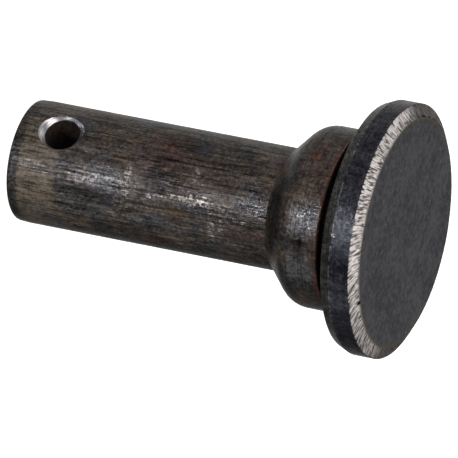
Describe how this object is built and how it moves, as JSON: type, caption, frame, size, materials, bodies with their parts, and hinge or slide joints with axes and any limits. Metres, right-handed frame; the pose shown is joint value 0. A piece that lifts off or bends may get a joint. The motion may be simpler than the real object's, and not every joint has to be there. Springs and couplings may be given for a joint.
{
  "type": "clevis pin",
  "caption": "Round clevis pin in blackened steel with a cotter hole across the shank, a flared collar, a relief groove and a broad flat chamfered head.",
  "frame": {"origin": "centre of the flat face at the shank's free end, on which the pin stands", "axes": "+Z along the pin's axis from the free end to the head; Y along the cotter hole"},
  "size_m": [0.0264, 0.0264, 0.0417],
  "materials": {
    "blackened_steel": "black mill scale and oxide with worn, scratched and faintly rusty places"
  },
  "bodies": {
    "root": {"clevis_pin": "blackened_steel"}
  },
  "joints": []
}
